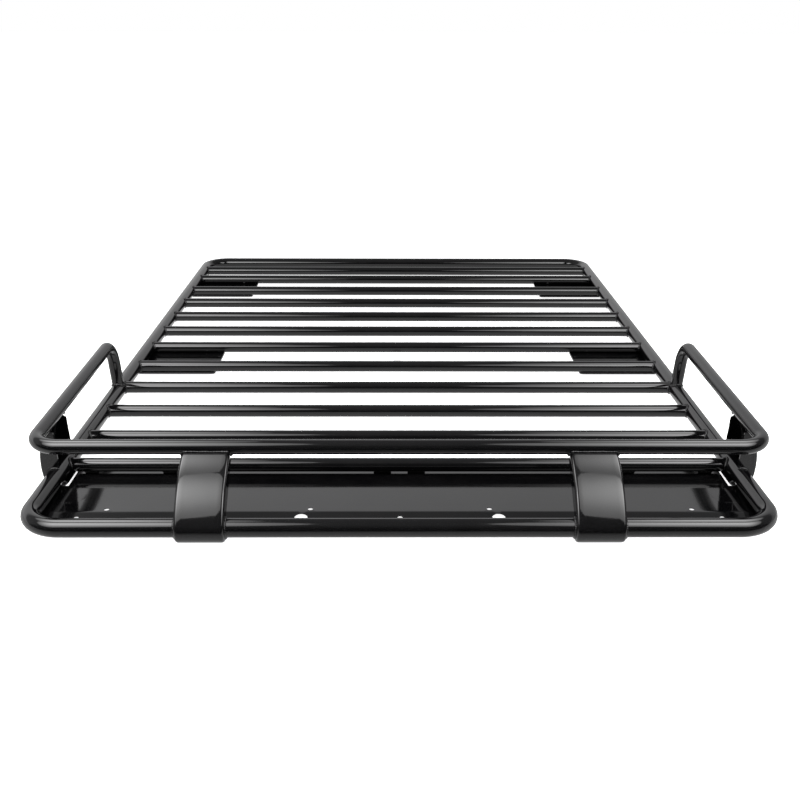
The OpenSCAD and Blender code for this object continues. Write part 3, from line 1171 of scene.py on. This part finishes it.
@dataclass
class Fasteners:
    """Hexagon bolts, washers and nuts along the sheet's rear edge."""

    builder: Builder
    shank_r: float = 3 * MM
    across: float = 9.5 * MM
    nut: float = 3 * MM
    washer_r: float = 6.2 * MM
    # bolts beyond this X, in mm, reach down to the bottom of the box, the rest stop short by the step
    outer_x: float = 405
    step: float = 3 * MM

    def turned(self, x: float, y: float, heights: Sequence, radii: Sequence, hexed: Sequence) -> tuple:
        """A closed turned form with some rings drawn as hexagons.

        A hexagon ring's radius at angle a is the lesser of the ring's own radius and
        (across / 2) / cos(a folded into +-30 degrees).

        Args:
            x: Where its axis is.
            y: Where its axis is.
            heights: Height of each ring.
            radii: Radius of each ring.
            hexed: 1 for a ring cut to the hexagon, else 0.

        Returns:
            Points, quads and triangles.
        """
        heights, radii, hexed = (np.array(v, float) for v in (heights, radii, hexed))
        a = np.linspace(0, 2 * np.pi, 48, endpoint=False)
        fold = (a + np.pi / 6) % (np.pi / 3) - np.pi / 6
        hexagon = self.across / 2 / np.cos(fold)
        r = np.where(hexed[:, None] > 0, np.minimum(hexagon[None], radii[:, None]), radii[:, None])
        rings = np.stack([x + r * np.cos(a), y + r * np.sin(a), np.broadcast_to(heights[:, None], r.shape)], -1)
        return capped(rings)

    def build(self) -> None:
        """Builds the three sets."""
        lo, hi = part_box("deflector_bolts")
        y = (lo.y + hi.y) / 2
        washer_lo, washer_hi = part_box("deflector_washers")
        seat, top = washer_hi.z, hi.z
        circum = self.across / 2 / math.cos(math.pi / 6)
        shank, w0, w1, wr = self.shank_r, washer_lo.z, washer_hi.z, self.washer_r
        bolts, washers, nuts = [], [], []
        for x in BOLT_X:
            low = lo.z if abs(x) > self.outer_x else lo.z + self.step
            z = [low, low + 0.6 * MM, seat, seat, seat + 0.25 * MM, top - 0.9 * MM, top - 0.1 * MM, top]
            r = [shank - 0.5 * MM, shank, shank, *(circum * np.array([0.97, 1, 1, 0.88, 0.8]))]
            bolts.append(self.turned(x * MM, y, z, r, [0, 0, 0, 1, 1, 1, 1, 0]))
            z = [w0, w0 + 0.15 * MM, w1 - 0.15 * MM, w1 - 0.01 * MM]
            washers.append(self.turned(x * MM, y, z, [wr - 0.15 * MM, wr, wr, wr - 0.15 * MM], [0] * 4))
            z = [low + 0.02 * MM, low + 0.5 * MM, low + self.nut - 0.3 * MM, low + self.nut]
            nuts.append(self.turned(x * MM, y, z, circum * np.array([0.86, 1, 1, 0.95]), [1] * 4))
        for name, parts in (("bolts", bolts), ("washers", washers), ("nuts", nuts)):
            obj = make_piece(f"sheet_{name}", *joined(parts), sharp_angle=28.0)
            self.builder.dress(obj, "fastener_black", (f"deflector_{name}",))


# ---------------------------------------------------------------- studio


@dataclass
class Studio:
    """Pale floor, soft light and the camera."""

    eye: tuple[float, float, float] = (-0.0150, -2.3425, 0.7968)
    yaw: float = 0.537
    pitch: float = 21.065
    roll: float = 0.223
    focal_px: float = 1010.0
    frame_px: float = 800.0
    # Y and brightness where the mirrored floor is dark, and where it is pale
    floor_fade: tuple[tuple[float, float], ...] = ((-1.05, 0.04), (-0.91, 0.9))
    # (angle, brightness): from the rear horizon at 0 over the top to the front at 180, below it negative
    room_light: tuple[tuple[float, float], ...] = (
        (-180, 0.06), (-166, 0.1), (-140, 0.2), (-115, 0.55), (-90, 0.6), (-60, 0.35), (-30, 0.05), (-4, 0.04),
        (3, 0.5), (12, 0.85), (36, 0.9), (46, 0.27), (62, 0.32), (120, 0.3), (140, 0.2), (155, 0.1), (178, 0.06),
    )
    # the room's light is 1 + room_lean times X of the direction looked in
    room_lean: float = -0.45
    panel_height: float = 1.05
    panel_radiance: float = 11.0
    panel_rim: float = 0.22
    # name, middle in X and Y, radius and strength of each panel
    panel_list: tuple[tuple[str, float, float, float, float], ...] = (
        ("panel_left", -0.95, -1.25, 0.74, 1.0),
        ("panel_right", 0.97, -1.25, 0.74, 0.9),
        ("panel_rear_left", -0.85, -0.5, 0.5, 0.8),
        ("panel_rear_right", 0.87, -0.5, 0.5, 0.68),
    )

    def build(self) -> None:
        """Builds the floor, the lights, the surround and the camera."""
        self.floor()
        self.surround()
        self.panels()
        self.camera()

    def floor(self) -> None:
        """A wide pale floor, which the gloss sees pale under the rack and dark in front of it."""
        n = 64
        a = np.linspace(0, 2 * np.pi, n, endpoint=False)
        r = np.array([0.01, 4.0, 40.0])
        grid = np.stack([r[:, None] * np.cos(a), r[:, None] * np.sin(a), np.full((3, n), -0.0005)], -1)
        obj = make_piece("studio_floor", grid.reshape(-1, 3), grid_faces(3, n, True), solid=False)
        up_down(obj)
        mat = bpy.data.materials.new("studio_floor_white")
        tree = NodeTree(mat)
        matt = tree.add("BsdfDiffuse", {"Color": (0.8, 0.8, 0.8, 1)})
        seen = tree.add("AddShader", {0: matt, 1: tree.add("Emission", {"Strength": 1.0})})
        split = tree.add("SeparateXYZ", {0: tree.add("TexCoord", {}, "Object")}, "Y")
        (dark_y, dark), (pale_y, pale) = self.floor_fade
        fade = {"From Min": dark_y, "From Max": pale_y, "To Min": dark, "To Max": pale, "Value": split}
        strength = tree.add("MapRange", fade, interpolation_type="SMOOTHSTEP")
        mirrored = tree.add("Emission", {"Strength": strength})
        glossy = tree.add("LightPath", {}, "Is Glossy Ray")
        tree.add("OutputMaterial", {"Surface": tree.add("MixShader", {0: glossy, 1: seen, 2: mirrored})})
        obj.data.materials.append(mat)

    def surround(self) -> None:
        """The room as the gloss sees it: pale low down behind, dim above, dark in front and below."""
        world = bpy.data.worlds.new("studio_room")
        bpy.context.scene.world = world
        tree = NodeTree(world)
        split = tree.add("SeparateXYZ", {0: tree.add("TexCoord", {}, "Generated")}, "X")
        y, z = (split.node.outputs[axis] for axis in "YZ")
        turn = tree.add("Math", {0: z, 1: y}, operation="ARCTAN2")
        share = tree.add("Math", {0: turn, 1: 1 / (2 * math.pi), 2: 0.5}, operation="MULTIPLY_ADD")
        stops = tuple(((a + 180) / 360, (v, v, v * 1.01)) for a, v in self.room_light)
        lean = tree.add("Math", {0: split, 1: self.room_lean, 2: 1.0}, operation="MULTIPLY_ADD")
        room = tree.add("Background", {"Color": tree.ramp(share, stops), "Strength": lean})
        white = tree.add("Background", {"Color": (1, 1, 1, 1)})
        seen = tree.add("LightPath", {}, "Is Camera Ray")
        tree.add("OutputWorld", {"Surface": tree.add("MixShader", {0: seen, 1: room, 2: white})})

    def panels(self) -> None:
        """Round soft panels overhead on each side, brightest in the middle.

        Each is a disc of rings: point = centre + r (cos a e1 + sin a e2).
        """
        for name, x, y, radius, gain in self.panel_list:
            centre = np.array([x, y, self.panel_height])
            aim = unit(np.array([x * 0.55, -0.55, 0.0]) - centre)
            e1 = unit(np.cross(aim, [0.0, 1, 0]))
            e2 = np.cross(aim, e1)
            r = np.linspace(0.004, radius, 12)
            a = np.linspace(0, 2 * np.pi, 48, endpoint=False)
            ring = np.cos(a)[:, None] * e1 + np.sin(a)[:, None] * e2
            grid = centre + r[:, None, None] * ring[None]
            obj = make_piece(name, grid.reshape(-1, 3), grid_faces(len(r), len(a), True), solid=False)
            obj.data.materials.append(self.glow(name, centre, radius, gain))
            obj.visible_camera = False
            obj.visible_shadow = False

    def glow(self, name: str, centre: np.ndarray, radius: float, gain: float) -> bpy.types.Material:
        """A panel's light, falling off from its middle on Object coordinates.

        Args:
            name: The panel's name.
            centre: Its middle.
            radius: Where it ends.
            gain: Its strength, as a share of the full radiance.

        Returns:
            The emitting material.
        """
        mat = bpy.data.materials.new(f"{name}_glow")
        tree = NodeTree(mat)
        place = tree.add("TexCoord", {}, "Object")
        away = tree.add("VectorMath", {0: place, 1: tuple(centre)}, "Value", operation="DISTANCE")
        peak = self.panel_radiance * gain
        fall = {"From Max": radius, "To Min": peak, "To Max": peak * self.panel_rim, "Value": away}
        strength = tree.add("MapRange", fall, interpolation_type="SMOOTHSTEP")
        tree.add("OutputMaterial", {"Surface": tree.add("Emission", {"Strength": strength})})
        return mat

    def camera(self) -> None:
        """The camera, from its yaw, pitch and roll."""
        y, p, r = (math.radians(v) for v in (self.yaw, self.pitch, self.roll))
        forward = Vector((math.sin(y) * math.cos(p), math.cos(y) * math.cos(p), -math.sin(p)))
        right = Vector((math.cos(y), -math.sin(y), 0))
        up = right.cross(forward)
        right, up = math.cos(r) * right + math.sin(r) * up, -math.sin(r) * right + math.cos(r) * up
        data = bpy.data.cameras.new("camera")
        data.sensor_width = 36.0
        data.lens = self.focal_px * data.sensor_width / self.frame_px
        data.clip_end = 200.0
        obj = bpy.data.objects.new("camera", data)
        turn = Matrix((right, up, -forward)).transposed()
        obj.matrix_world = Matrix.Translation(Vector(self.eye)) @ turn.to_4x4()
        bpy.context.scene.collection.objects.link(obj)
        bpy.context.scene.camera = obj


def main() -> None:
    """Builds the rack piece by piece, then the studio, and reports each piece."""
    logging.basicConfig(level=logging.INFO, format="%(name)s: %(message)s")
    builder = Builder(Datum.read(), Palette())
    for part in (
        Perimeter(builder),
        Slats(builder),
        UpperRail(builder),
        Brackets(builder),
        LegPlates(builder),
        WindDeflector(builder),
        SlatTabs(builder),
        Fasteners(builder),
    ):
        part.build()
        LOG.info("%s built", type(part).__name__)
    Studio().build()
    bpy.context.scene.view_settings.view_transform = "Standard"
    LOG.info("%d pieces in all", len(builder.pieces))


if __name__ == "__main__":
    main()
